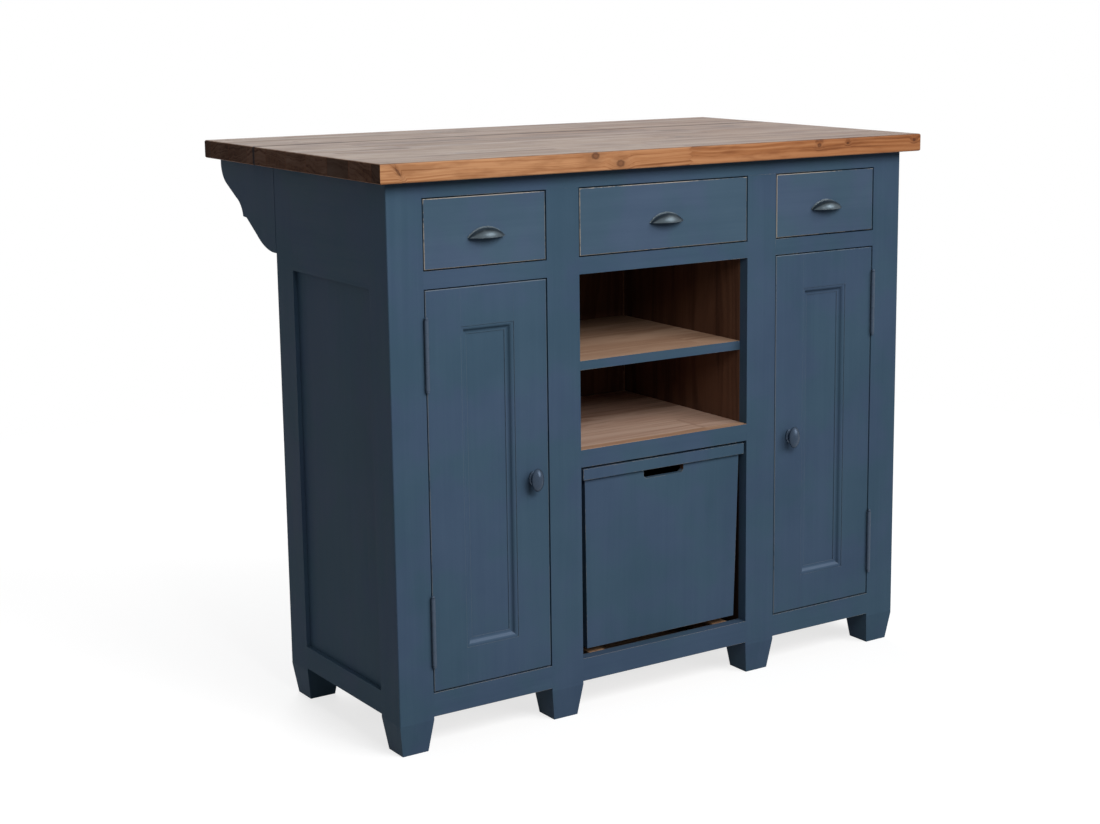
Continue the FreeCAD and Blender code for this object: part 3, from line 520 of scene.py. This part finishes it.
def paint(name, grain, bare_where=None, wear=0.35, flat_sides=True, rounding=0.0004,
          bare_wood=shaded_wall_wood, edge_colour=bare_edge, joints=False, painted_upper_light=0.0,
          tint=None):
    """Satin paint over pine: faint grain and brush marks, worn edges, bare wood inside, and where
    asked for a tint, painted highlights on moulding edges and painted light on upward slopes.
    """
    shade = Shade(name)
    place = shade.node("ShaderNodeTexCoord").outputs["Object"]
    point = along(shade, place, grain)
    clouds = shade.noise(place, 5.0, 4.0, 0.6)
    strokes = shade.noise(shade.stretched(point, stroke_scale), 1.0, 3.0, 0.6)
    telegraph = shade.noise(shade.stretched(point, telegraph_scale), 1.0, 3.0, 0.5)
    blend = shade.math("ADD", shade.math("MULTIPLY", clouds, cloud_share),
                       shade.math("MULTIPLY", strokes, stroke_share))
    blend = shade.math("ADD", blend, shade.math("MULTIPLY", telegraph, telegraph_share))
    colour = shade.mix(shade.ramp(blend, 0.34, 0.66), paint_deep, paint_pale)
    hue = shade.noise(shade.vector("ADD", place, (3.1, 1.7, 5.3)), 7.0, 3.0, 0.6)
    hue = shade.mix(shade.ramp(hue, 0.40, 0.60), paint_teal, paint_violet)
    colour = shade.mix(hue_share, colour, hue)
    if tint is not None:
        colour = shade.mix(1.0, colour, tint, "MULTIPLY")
    specks = shade.ramp(shade.noise(place, 900.0, 2.0), 0.70, 0.78)
    colour = shade.mix(shade.math("MULTIPLY", specks, speck_share), colour, grime)
    wear_and_highlight = worn_edges(shade, place, wear, flat_sides, grain if joints else None)
    # Painted light: a moulding's upward slopes are paler, as if lit from above.
    if painted_upper_light:
        upwards = shade.ramp(shade.split(own_normal(shade))[2], lit_slope_from, lit_slope_to)
        colour = shade.mix(shade.math("MULTIPLY", upwards, painted_upper_light), colour, painted_moulding_light)
    colour = shade.mix(shade.math("MULTIPLY", wear_and_highlight, bare_share), colour, edge_colour)
    rough = shade.ramp(shade.math("ADD", clouds, strokes), 0.7, 1.3, *paint_rough)
    height = shade.math("ADD", shade.math("MULTIPLY", strokes, 0.35),
                        shade.math("MULTIPLY", telegraph, 0.65))
    height = shade.math("SUBTRACT", height, shade.math("MULTIPLY", wear_and_highlight, 0.6))
    if bare_where is not None:
        bare = bare_where(shade, place)
        seed = board_seed(shade, point, *bare_board)[0]
        rings = growth_rings(shade, point, seed, bare_ring)
        hairs = fibre(shade, point, seed)
        depth = shade.math("ADD", shade.math("MULTIPLY", rings, 0.5),
                           shade.math("MULTIPLY", hairs, 0.7))
        pine = shade.mix(shade.ramp(depth, 0.1, 0.8), bare_wood[0], bare_wood[1])
        pine = shade.mix(shade.ramp(depth, 0.75, 1.2), pine, bare_wood[2])
        colour = shade.mix(bare, colour, pine)
        rough = shade.math("ADD", rough, shade.math("MULTIPLY", bare, 0.1))
    edge = shade.node("ShaderNodeBevel", {"Radius": rounding}, samples=4).outputs[0]
    normal = shade.bump(height, paint_bump, bump_depth, edge)
    return shade.finish(colour, rough, normal, Specular_IOR_Level=paint_specular)


# ---- Metal and plastic ----------------------------------------------------------------

iron_cloud_scale = 60.0
iron_pit_scale = 1400.0
pit_bump = 0.10
pit_depth = 0.0003
rubbed_from, rubbed_to = 0.84, 0.98      # cosines between the rounded and the plain normal


def iron(name, dark, roughness, metallic, wear_and_highlight_share, wear_and_highlight=iron_wear_and_highlight):
    """Blackened iron, brighter on its edges: rubbed wear, which on the pulls' rims is also a
    painted highlight.
    """
    shade = Shade(name)
    place = shade.node("ShaderNodeTexCoord").outputs["Object"]
    clouds = shade.noise(place, iron_cloud_scale, 4.0, 0.6)
    pits = shade.noise(place, iron_pit_scale, 2.0, 0.5)
    bevel = shade.node("ShaderNodeBevel", {"Radius": wear_reach}, samples=6).outputs[0]
    geometry = shade.node("ShaderNodeNewGeometry")
    same = shade.vector("DOT_PRODUCT", bevel, geometry.outputs["Normal"], output=1)
    edge_wear_and_highlight = shade.ramp(same, rubbed_from, rubbed_to, 1.0, 0.0)
    edge_wear_and_highlight = shade.math("MULTIPLY", edge_wear_and_highlight, shade.ramp(clouds, 0.35, 0.6))
    share = shade.math("MULTIPLY", edge_wear_and_highlight, wear_and_highlight_share)
    share = shade.math("ADD", share, shade.ramp(clouds, 0.5, 0.8, 0.0, 0.25), clamp=True)
    colour = shade.mix(share, dark, wear_and_highlight)
    rough = shade.ramp(clouds, 0.3, 0.7, roughness - 0.06, roughness + 0.10)
    normal = shade.bump(pits, pit_bump, pit_depth, bevel)
    return shade.finish(colour, rough, normal, Metallic=metallic)


def plastic(name, colour):
    shade = Shade(name)
    place = shade.node("ShaderNodeTexCoord").outputs["Object"]
    grainy = shade.noise(place, 2200.0, 2.0)
    tint = shade.mix(shade.noise(place, 80.0), colour, tuple(c * 0.8 for c in colour))
    return shade.finish(tint, 0.55, shade.bump(grainy, 0.15, 0.0002))


# ---- Materials on the CAD nodes -------------------------------------------------------

def knot_on_edge(x, z, size):
    """A knot that runs back into the worktop from its front edge."""
    return (Vector((x, top_low.y, z)), (0.75, 0.35, 1.0), 0.0, size)


def split_knot(x, z, size):
    """A knot cut along its length, which shows as a narrow slanted figure."""
    return (Vector((x, top_low.y, z)), (1.5, 0.35, 0.50), 0.7, size)


def knot_on_top(x, y, size):
    return (Vector((x, y, top_high.z)), (0.7, 1.0, 0.3), 0.0, size)


edge_knots = [knot_on_edge(-0.154, 0.914, 0.0052), knot_on_edge(-0.107, 0.900, 0.0055)]
edge_knots += [knot_on_edge(0.298, 0.910, 0.0030), knot_on_edge(0.361, 0.911, 0.0020)]
edge_knots += [split_knot(-0.499, 0.907, 0.0030), knot_on_edge(0.513, 0.910, 0.0024)]
top_knots = [knot_on_top(-0.330, -0.205, 0.007), knot_on_top(0.150, -0.120, 0.006)]
top_knots += [knot_on_top(0.390, 0.060, 0.008), knot_on_top(-0.120, 0.235, 0.006)]

worktop_colours = (top_pale, top_warm, top_dark)
wide_boards = {"stave": bare_board, "ring": bare_ring, "roughness": (0.45, 0.62), "specular": 0.3}

materials = {
    "worktop": wood("worktop_pine", "x", worktop_colours, knot_places=edge_knots + top_knots,
                    upward_sheen_and_shade=top_sheen_and_shade, roughness=(0.27, 0.42), specular=0.12, over=along_top),
    # Painted light and shade: lit copies of the pine on level boards, a shaded copy on the walls.
    "lit_floor_wood": wood("lit_niche_pine", "x", lit_floor_wood, **wide_boards),
    "lit_shelf_wood": wood("lit_shelf_pine", "x", lit_shelf_wood, **wide_boards),
    "shaded_wall_wood": wood("shaded_wall_pine", "z", shaded_wall_wood, over=painted_bay_shade, **wide_boards),
    "drawer_wood": wood("drawer_pine", "y", drawer_wood, **wide_boards),
    "paint_x": paint("paint_x", "x", rail_bare, 0.30, joints=True, bare_wood=lit_shelf_wood),
    "paint_low": paint("paint_low", "x", interior_box, 0.72, joints=True, bare_wood=lit_shelf_wood),
    "paint_shelf": paint("paint_shelf", "x", interior_box, 0.42, bare_wood=lit_shelf_wood),
    "paint_y": paint("paint_y", "y", interior_box, 0.14),
    "paint_z": paint("paint_z", "z", interior_box, 0.14),
    "paint_door": paint("paint_door", "z", None, 0.50, rounding=0.0008, edge_colour=rubbed_edge_and_highlight),
    "paint_moulding": paint("paint_moulding", "z", None, 0.62, flat_sides=False,
                            edge_colour=rubbed_edge_and_highlight, painted_upper_light=0.65),
    "paint_drawer": paint("paint_drawer", "x", behind_front, 0.46, rounding=0.0008,
                          tint=drawer_lighter),
    "paint_bin": paint("paint_bin", "z", inside_bin, 0.34),
    "hinge": iron("hinge_iron", hinge_dark, 0.50, 0.15, 0.6, hinge_worn),
    "pull": iron("gunmetal", pull_dark, 0.34, 0.8, 0.8),
    "knob": iron("knob_iron", knob_dark, 0.28, 0.5, 0.3, hinge_worn),
    "screw": iron("screw_steel", screw_dark, 0.40, 0.8, 0.6),
    "catch": plastic("catch_brown", (0.16, 0.09, 0.05)),
}

finishes = {
    "worktop": "worktop", "worktop_leaf": "worktop",
    "front_top_rail": "paint_x", "front_cross_rails": "paint_x", "front_bottom_rails": "paint_low",
    "back_frame": "paint_x", "side_rails": "paint_y", "side_panel": "paint_z",
    "back_panels": "paint_z", "corner_post": "paint_z", "middle_stile": "paint_z",
    "middle_feet": "paint_z", "bracket_left": "paint_z", "bracket_right": "paint_z",
    "niche_shelf": "paint_shelf", "niche_floor": "lit_floor_wood", "niche_ceiling": "shaded_wall_wood",
    "cupboard": "lit_shelf_wood", "partition": "shaded_wall_wood", "drawer_runners": "drawer_wood",
    "bin_runners": "drawer_wood", "door_catches": "catch", "bin_": "paint_bin",
    "door_left": "paint_door", "door_right": "paint_door",
}


def finish_of(node):
    if node.endswith("_knob"):
        return "knob"
    if node.endswith("_pull"):
        return "pull"
    if "hinge" in node:
        return "hinge"
    if node.endswith("_moulding"):
        return "paint_moulding"
    if node.startswith("drawer_") and node.endswith("_front"):
        return "paint_drawer"
    if node.startswith("drawer_") and node.endswith("_box"):
        return "drawer_wood"
    names = [start for start in finishes if node.startswith(start)]
    return finishes[max(names, key=len)]


for node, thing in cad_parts.items():
    for slot in thing.material_slots:
        slot.material = materials[finish_of(node)]


# ---- Screws, bolts and strike plates ----------------------------------------------------

head_steps = 14
slot_share = 0.22                        # slot's width, as a share of the head's radius
slot_floor = 0.35                        # height of the slot's floor, as a share of the head's
dome = ((1.0, 0.0), (0.97, 0.45), (0.80, 0.80), (0.50, 1.0))   # radius and height, as shares
slot_turn = 2.4                          # from one head's slot to the next one's, radians


def stacked(mesh, rings):
    """A closed form from rings of as many points each, lowest first."""
    loops = [[mesh.verts.new(point) for point in ring] for ring in rings]
    mesh.faces.new(list(reversed(loops[0])))
    mesh.faces.new(loops[-1])
    for below, above in zip(loops, loops[1:]):
        for index in range(len(below)):
            after = (index + 1) % len(below)
            mesh.faces.new((below[index], below[after], above[after], above[index]))


def circle(radius, height):
    turns = [2.0 * math.pi * step / head_steps for step in range(head_steps)]
    return [Vector((math.cos(turn) * radius, math.sin(turn) * radius, height)) for turn in turns]


def half_circle(radius, height, chord):
    """The part of a circle that lies beyond a chord."""
    widest = math.acos(chord / radius)
    turns = [widest * (2.0 * step / head_steps - 1.0) for step in range(head_steps + 1)]
    return [Vector((math.cos(turn) * radius, math.sin(turn) * radius, height)) for turn in turns]


def slotted_head(mesh, place, outwards, radius, rise, turn):
    """A domed head with a slot across it, which stands on a face at place."""
    start = len(mesh.verts)
    stacked(mesh, [circle(radius * 0.96, 0.0), circle(radius * 0.96, rise * slot_floor)])
    chord = radius * slot_share / 2.0
    half = [half_circle(radius * share, rise * height, chord) for share, height in dome]
    stacked(mesh, half)
    about = Matrix.Rotation(math.pi, 3, "Z")
    stacked(mesh, [[about @ point for point in ring] for ring in half])
    upright = Vector((0.0, 0.0, 1.0)).rotation_difference(outwards).to_matrix()
    stand = upright @ Matrix.Rotation(turn, 3, "Z")
    mesh.verts.ensure_lookup_table()
    for vert in mesh.verts[start:]:
        vert.co = stand @ vert.co + place


def add_piece(name, mesh, body, material):
    data = bpy.data.meshes.new(name)
    bmesh.ops.recalc_face_normals(mesh, faces=mesh.faces)
    mesh.to_mesh(data)
    mesh.free()
    data.materials.append(materials[material])
    piece = bpy.data.objects.new(name, data)
    bpy.context.scene.collection.objects.link(piece)
    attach(piece, body)


def heads(name, body, spots, radius, rise):
    """Slotted heads at the spots, each a place and the direction that it faces."""
    mesh = bmesh.new()
    for index, (place, outwards) in enumerate(spots):
        slotted_head(mesh, place, outwards, radius, rise, index * slot_turn)
    add_piece(name, mesh, body, "screw")


def rounded_corners(x, z, corner, y):
    """A rectangle's outline with round corners, anticlockwise as seen from behind."""
    middles = [(x[1] - corner, z[0] + corner, -90.0), (x[1] - corner, z[1] - corner, 0.0),
               (x[0] + corner, z[1] - corner, 90.0), (x[0] + corner, z[0] + corner, 180.0)]
    points = []
    for middle_x, middle_z, first in middles:
        for step in range(5):
            turn = math.radians(first + step * 22.5)
            at_x = middle_x + math.cos(turn) * corner
            points.append(Vector((at_x, y, middle_z + math.sin(turn) * corner)))
    return points


screw_radius = 0.0032
screw_rise = 0.0005
hinge_length = 0.108
hinge_screw_spacing = 0.036
hinge_screw_inset = 0.0080               # from the end of a plate that lies along Y
stagger = 0.0025
half_gap = 0.001                         # from a door hinge's axis to the face of a plate
bracket_plate = 0.0014
bracket_plate_middle = 0.0096            # from the end of a plate to its middle
bracket_barrel = 0.0025                  # radius of a bracket hinge's knuckles
bracket_screw_from_pin = 0.0124          # from the pin's axis to the middle of a plate
bracket_screw_ends = 0.014
leaf_plate = 0.0018
leaf_hinge_half = 0.030
leaf_screw_apart = 0.020
leaf_screw_out = 0.0130                  # from the seam to a row of screws
bolt_radius = 0.0045
bolt_rise = 0.0022
pull_screw_radius = 0.0035
pull_screw_rise = 0.0015
pull_screw_apart = 0.022                 # from the middle of a pull to each of its screws
strike_thickness = 0.0004
strike_corner = 0.003
strike_inset = 0.003                     # catch's side to the strike plate's
strike_drop = 0.010                      # catch's underside to the strike plate's foot
strike_below_top = 0.002                 # door's top to the strike plate's


def along_hinge(low, high):
    """The heights of the screws in the two hinges of a door."""
    middles = (low.z + hinge_length / 2.0, high.z - hinge_length / 2.0)
    return [middle + step * hinge_screw_spacing for middle in middles for step in (-1, 0, 1)]


def staggered(index):
    """Neighbouring screws stand a little to either side of their row."""
    return stagger if index % 2 else -stagger


def door_fittings(side, sign):
    """Hinge screws, the knob's bolt and the strike plate of one door; sign is -1 at the left."""
    body = "door_" + side
    low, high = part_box(body + "_hinge_leaves")
    axis = (low.x + high.x) / 2.0
    spots = []
    jamb_spots = []
    for index, height in enumerate(along_hinge(low, high)):
        y = high.y - hinge_screw_inset + staggered(index)
        spots.append((Vector((axis - sign * half_gap, y, height)), Vector((sign, 0, 0))))
        jamb_spots.append((Vector((axis + sign * half_gap, y, height)), Vector((-sign, 0, 0))))
    heads(body + "_hinge_screws", body, spots, screw_radius, screw_rise)
    heads(body + "_jamb_screws", "carcass", jamb_spots, screw_radius, screw_rise)

    frame_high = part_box(body + "_frame")[1]
    knob_low, knob_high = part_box(body + "_knob")
    middle = (knob_low + knob_high) / 2.0
    bolt = (Vector((middle.x, frame_high.y, middle.z)), Vector((0, 1, 0)))
    heads(body + "_knob_bolt", body, [bolt], bolt_radius, bolt_rise)

    catch_low, catch_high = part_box("door_catches")
    inner = stile_low.x + strike_inset if sign < 0 else -stile_low.x - strike_inset
    inner = inner + sign * 2.0 * strike_inset
    outer = sign * (catch_high.x - strike_inset)
    x = (min(inner, outer), max(inner, outer))
    z = (catch_low.z - strike_drop, frame_high.z - strike_below_top)
    mesh = bmesh.new()
    rises = (0.0, strike_thickness * 0.6)
    rings = [rounded_corners(x, z, strike_corner, frame_high.y + rise) for rise in rises]
    eased_x = (x[0] + strike_thickness, x[1] - strike_thickness)
    eased_z = (z[0] + strike_thickness, z[1] - strike_thickness)
    rings.append(rounded_corners(eased_x, eased_z, strike_corner, frame_high.y + strike_thickness))
    stacked(mesh, rings)
    add_piece(body + "_strike_plate", mesh, body, "screw")


def bracket_screws(side, sign):
    fixed_low, fixed_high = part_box("bracket_hinge_back_leaves")
    arm_low, arm_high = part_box("bracket_" + side + "_hinge_leaf")
    middle = (fixed_low.z + fixed_high.z) / 2.0
    reach = (fixed_high.z - fixed_low.z) / 2.0 - bracket_screw_ends
    heights = [middle + step * reach for step in (-1, 0, 1)]
    face_y = fixed_low.y + bracket_plate
    arm_x = arm_low.x + bracket_plate if sign < 0 else arm_high.x - bracket_plate
    fixed_x = sign * (fixed_high.x - bracket_barrel - bracket_screw_from_pin)
    arm_y = arm_high.y - bracket_plate_middle
    fixed = [(Vector((fixed_x, face_y, height)), Vector((0, 1, 0))) for height in heights]
    arm = [(Vector((arm_x, arm_y, height)), Vector((-sign, 0, 0))) for height in heights]
    heads("bracket_" + side + "_frame_screws", "carcass", fixed, screw_radius, screw_rise)
    heads("bracket_" + side + "_arm_screws", "bracket_" + side, arm, screw_radius, screw_rise)


def leaf_screws():
    low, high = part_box("leaf_hinge_top_plates")
    columns = (low.x + leaf_hinge_half, 0.0, high.x - leaf_hinge_half)
    face = high.z - leaf_plate
    for name, body, y in (("top_plate_screws", "carcass", seam - leaf_screw_out),
                          ("leaf_plate_screws", "leaf", seam + leaf_screw_out)):
        spots = [(Vector((column + step * leaf_screw_apart, y, face)), Vector((0, 0, -1)))
                 for column in columns for step in (-1, 0, 1)]
        heads(name, body, spots, screw_radius, screw_rise)


def pull_screws(name):
    body = "drawer_" + name
    pull_low, pull_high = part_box(body + "_pull")
    middle = (pull_low + pull_high) / 2.0
    spots = []
    for step in (-1, 1):
        place = Vector((middle.x + step * pull_screw_apart, inner_front, middle.z))
        spots.append((place, Vector((0, 1, 0))))
    heads(body + "_pull_screws", body, spots, pull_screw_radius, pull_screw_rise)


for side, sign in (("left", -1), ("right", 1)):
    door_fittings(side, sign)
    bracket_screws(side, sign)
leaf_screws()
for name in ("left", "middle", "right"):
    pull_screws(name)


# ---- Floor, lights and camera ---------------------------------------------------------

world_level = 0.23
key_from_right = 28.0                    # degrees from straight in front
key_height = 31.0                        # degrees above the floor
key_spread = 38.0
key_level = 0.50
front_place, front_target = (-0.30, -2.0, 1.75), (-0.1, -0.3, 0.6)
front_size, front_power = (1.0, 0.8), 27.0
back_place, back_target = (0.7, 3.4, 1.9), (0.0, 0.1, 0.5)
back_size, back_power = (2.4, 1.6), 105.0


def pale_when_seen(shade):
    """1 for what the camera, a mirror or glass sees."""
    path = shade.node("ShaderNodeLightPath")
    seen = shade.math("MAXIMUM", path.outputs["Is Camera Ray"], path.outputs["Is Glossy Ray"])
    return shade.math("MAXIMUM", seen, path.outputs["Is Transmission Ray"])


def floor_material():
    shade = Shade("floor")
    seen = pale_when_seen(shade)
    place = shade.node("ShaderNodeTexCoord").outputs["Object"]
    far = shade.ramp(shade.vector("LENGTH", place, output=1), *floor_fade)
    shown = shade.mix(far, floor_colour, (0.0, 0.0, 0.0))
    colour = shade.mix(seen, floor_bounce, shown)
    shader = shade.node("ShaderNodeBsdfDiffuse", {"Color": colour})
    glow = shade.node("ShaderNodeEmission", {"Color": (1.0, 1.0, 1.0)})
    level = shade.ramp(far, 0.0, 1.0, floor_glow, 1.0)
    shade.put(glow.inputs["Strength"], shade.math("MULTIPLY", seen, level))
    both = shade.node("ShaderNodeAddShader")
    shade.put(both.inputs[0], shader.outputs[0])
    shade.put(both.inputs[1], glow.outputs[0])
    out = shade.node("ShaderNodeOutputMaterial")
    shade.put(out.inputs["Surface"], both.outputs[0])
    return shade.material


def make_floor(reach=14.0):
    mesh = bpy.data.meshes.new("floor")
    corners = [(-reach, -reach, 0), (reach, -reach, 0), (reach, reach, 0), (-reach, reach, 0)]
    mesh.from_pydata(corners, [], [(0, 1, 2, 3)])
    floor = bpy.data.objects.new("floor", mesh)
    bpy.context.scene.collection.objects.link(floor)
    mesh.materials.append(floor_material())


def sun(name, from_right, height, spread, level):
    """A wide soft lamp, whose level is what a white face turned to it would show."""
    light = bpy.data.lights.new(name, "SUN")
    light.angle = math.radians(spread)
    light.energy = math.pi * level
    lamp = bpy.data.objects.new(name, light)
    bpy.context.scene.collection.objects.link(lamp)
    flat = math.cos(math.radians(height))
    towards = Vector((math.sin(math.radians(from_right)) * flat,
                      -math.cos(math.radians(from_right)) * flat,
                      math.sin(math.radians(height))))
    lamp.rotation_euler = towards.to_track_quat("Z", "Y").to_euler()


def softbox(name, place, target, size, power):
    light = bpy.data.lights.new(name, "AREA")
    light.shape = "RECTANGLE"
    light.size, light.size_y = size
    light.energy = power
    lamp = bpy.data.objects.new(name, light)
    bpy.context.scene.collection.objects.link(lamp)
    lamp.location = place
    aim = Vector(target) - Vector(place)
    lamp.rotation_euler = aim.to_track_quat("-Z", "Y").to_euler()
    lamp.visible_glossy = False


def make_world(strength):
    world = bpy.data.worlds.new("studio")
    bpy.context.scene.world = world
    world.use_nodes = True
    tree = world.node_tree
    tree.nodes.clear()
    path = tree.nodes.new("ShaderNodeLightPath")
    seen = tree.nodes.new("ShaderNodeMath")
    seen.operation = "MAXIMUM"
    tree.links.new(path.outputs["Is Camera Ray"], seen.inputs[0])
    tree.links.new(path.outputs["Is Transmission Ray"], seen.inputs[1])
    both = tree.nodes.new("ShaderNodeMath")
    both.operation = "MAXIMUM"
    tree.links.new(seen.outputs[0], both.inputs[0])
    tree.links.new(path.outputs["Is Glossy Ray"], both.inputs[1])
    level = tree.nodes.new("ShaderNodeMapRange")
    level.inputs[3].default_value = strength
    level.inputs[4].default_value = 1.0
    tree.links.new(both.outputs[0], level.inputs[0])
    light = tree.nodes.new("ShaderNodeBackground")
    light.inputs["Color"].default_value = (1.0, 1.0, 1.0, 1.0)
    tree.links.new(level.outputs[0], light.inputs["Strength"])
    out = tree.nodes.new("ShaderNodeOutputWorld")
    tree.links.new(light.outputs[0], out.inputs["Surface"])


def make_camera():
    sin_yaw, cos_yaw = math.sin(camera_yaw), math.cos(camera_yaw)
    sin_pitch, cos_pitch = math.sin(camera_pitch), math.cos(camera_pitch)
    forward = Vector((sin_yaw * cos_pitch, cos_yaw * cos_pitch, -sin_pitch))
    right = Vector((cos_yaw, -sin_yaw, 0.0))
    up = right.cross(forward)
    cos_roll, sin_roll = math.cos(camera_roll), math.sin(camera_roll)
    rolled_right = right * cos_roll + up * sin_roll
    rolled_up = up * cos_roll - right * sin_roll
    data = bpy.data.cameras.new("camera")
    data.sensor_width = sensor_width
    data.lens = focal_pixels * sensor_width / image_width
    data.shift_x = (image_width / 2.0 - axis_pixel[0]) / image_width
    data.shift_y = (axis_pixel[1] - image_height / 2.0) / image_width
    camera = bpy.data.objects.new("camera", data)
    bpy.context.scene.collection.objects.link(camera)
    turn = Matrix((rolled_right, rolled_up, -forward)).transposed()
    camera.matrix_world = Matrix.Translation(camera_place) @ turn.to_4x4()
    bpy.context.scene.camera = camera


make_floor()
make_world(world_level)
sun("key", key_from_right, key_height, key_spread, key_level)
softbox("front_fill", front_place, front_target, front_size, front_power)
softbox("back_fill", back_place, back_target, back_size, back_power)
make_camera()
bpy.context.scene.view_settings.view_transform = "Standard"
